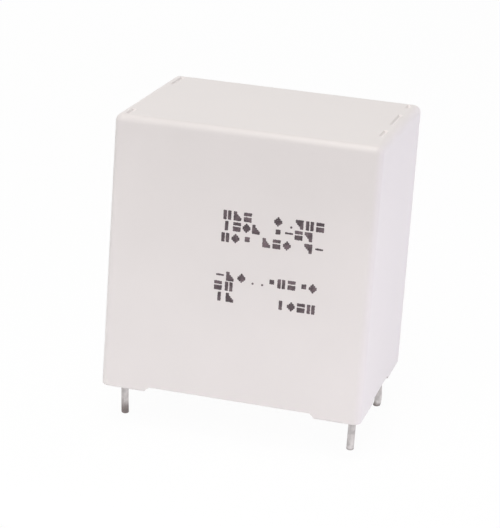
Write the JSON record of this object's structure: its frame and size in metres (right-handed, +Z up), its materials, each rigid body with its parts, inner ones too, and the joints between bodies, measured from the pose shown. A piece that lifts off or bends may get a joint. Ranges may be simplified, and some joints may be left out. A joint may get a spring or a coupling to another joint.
{
  "type": "box film capacitor",
  "caption": "Film capacitor in a pale moulded box with corner feet, potted from below, with straight wire leads on a rectangular grid for soldering into a printed circuit board.",
  "frame": {"origin": "middle of the lead grid, on the surface of the board, where the corner feet stand", "axes": "+X from the left lead row to the right one, along the roll; +Z up, away from the board; -Y out of the front long side"},
  "size_m": [0.042, 0.032, 0.0505],
  "materials": {
    "box_plastic": "satin moulded",
    "resin": "cast, smooth",
    "metallised_film": "wound metallised film",
    "plain_film": "clear film, many turns",
    "sprayed_zinc": "sprayed, dull and grainy",
    "tinned_wire": "tinned, slightly dull"
  },
  "bodies": {
    "root": {"box": "box_plastic", "potting_resin": "resin", "film_winding": "metallised_film", "outer_wrap": "plain_film", "spray_contact_left": "sprayed_zinc", "spray_contact_right": "sprayed_zinc", "lead_front_left": "tinned_wire", "lead_front_right": "tinned_wire", "lead_back_left": "tinned_wire", "lead_back_right": "tinned_wire"}
  },
  "joints": []
}
